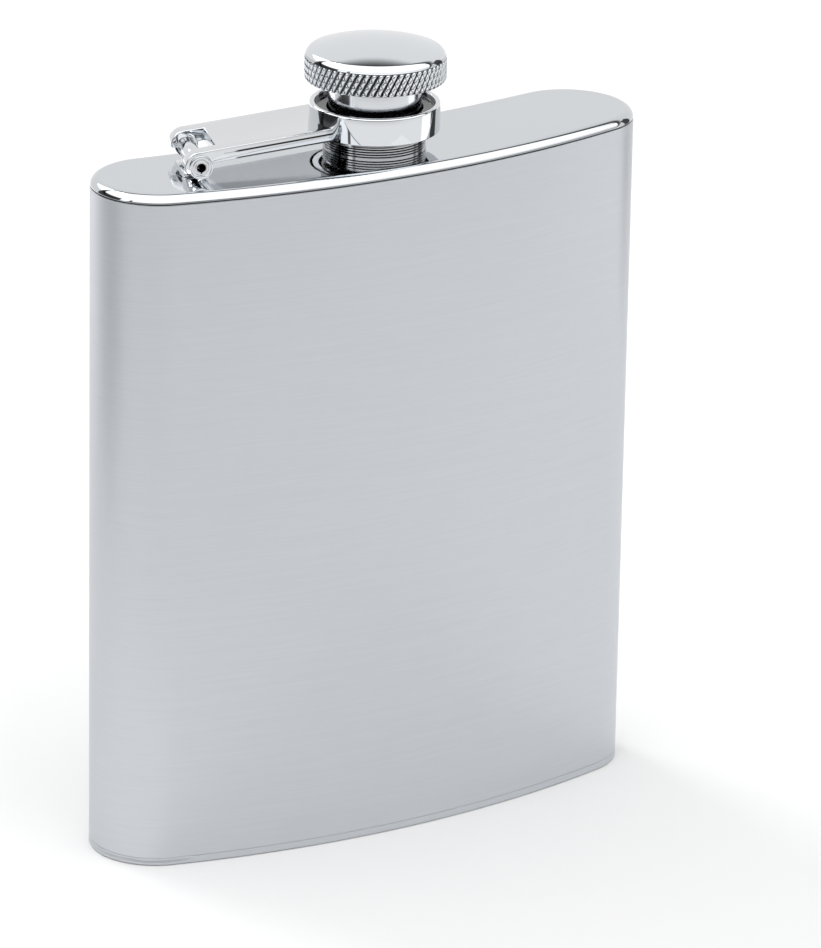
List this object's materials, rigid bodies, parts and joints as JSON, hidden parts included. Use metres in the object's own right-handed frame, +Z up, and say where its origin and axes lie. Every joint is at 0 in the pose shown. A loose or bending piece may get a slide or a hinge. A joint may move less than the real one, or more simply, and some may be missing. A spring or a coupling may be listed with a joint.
{
  "type": "hip flask",
  "caption": "Steel hip flask with a curved body, threaded neck and captive knurled screw cap on a hinged arm.",
  "frame": {"origin": "middle of the base's bounding box, at table level, under the axis of the neck", "axes": "+Z up, +X along the width towards the end away from the hinge, -Y towards the convex front"},
  "size_m": [0.095, 0.0256, 0.1273],
  "materials": {
    "brushed_body": "satin",
    "polished": "polished",
    "cap_steel": "polished",
    "pin_steel": "satin",
    "liner_plastic": "matte",
    "gasket_rubber": "matte"
  },
  "bodies": {
    "flask_body": {"body_shell": "brushed_body", "top_plate": "polished", "bottom_plate": "brushed_body", "neck": "polished", "hinge_bracket": "polished"},
    "arm": {"hinge_arm": "polished", "hinge_pin": "pin_steel", "collar_ring": "polished"},
    "cap_carrier": {"cap_gasket": "gasket_rubber"},
    "cap": {"cap_head": "cap_steel", "cap_barrel": "cap_steel", "cap_flange": "cap_steel", "cap_liner": "liner_plastic"}
  },
  "joints": [
    {"name": "arm_swing", "type": "hinge", "parent": "flask_body", "child": "arm", "pos_m": [-0.0312, 0.0021, 0.1125], "axis": [-0.3173, -0.9483, 0], "range_deg": [0, 170]},
    {"name": "cap_rise", "type": "slide", "parent": "arm", "child": "cap_carrier", "axis": [0, 0, 1], "range_m": [0, 0.00181]},
    {"name": "cap_turn", "type": "hinge", "parent": "cap_carrier", "child": "cap", "pos_m": [0, 0, 0.11], "axis": [0, 0, 1], "range_deg": [0, 540]}
  ],
  "couplings": [
    {"joint": "cap_rise", "follows": "cap_turn", "m_per_rad": 0.00019099}
  ]
}
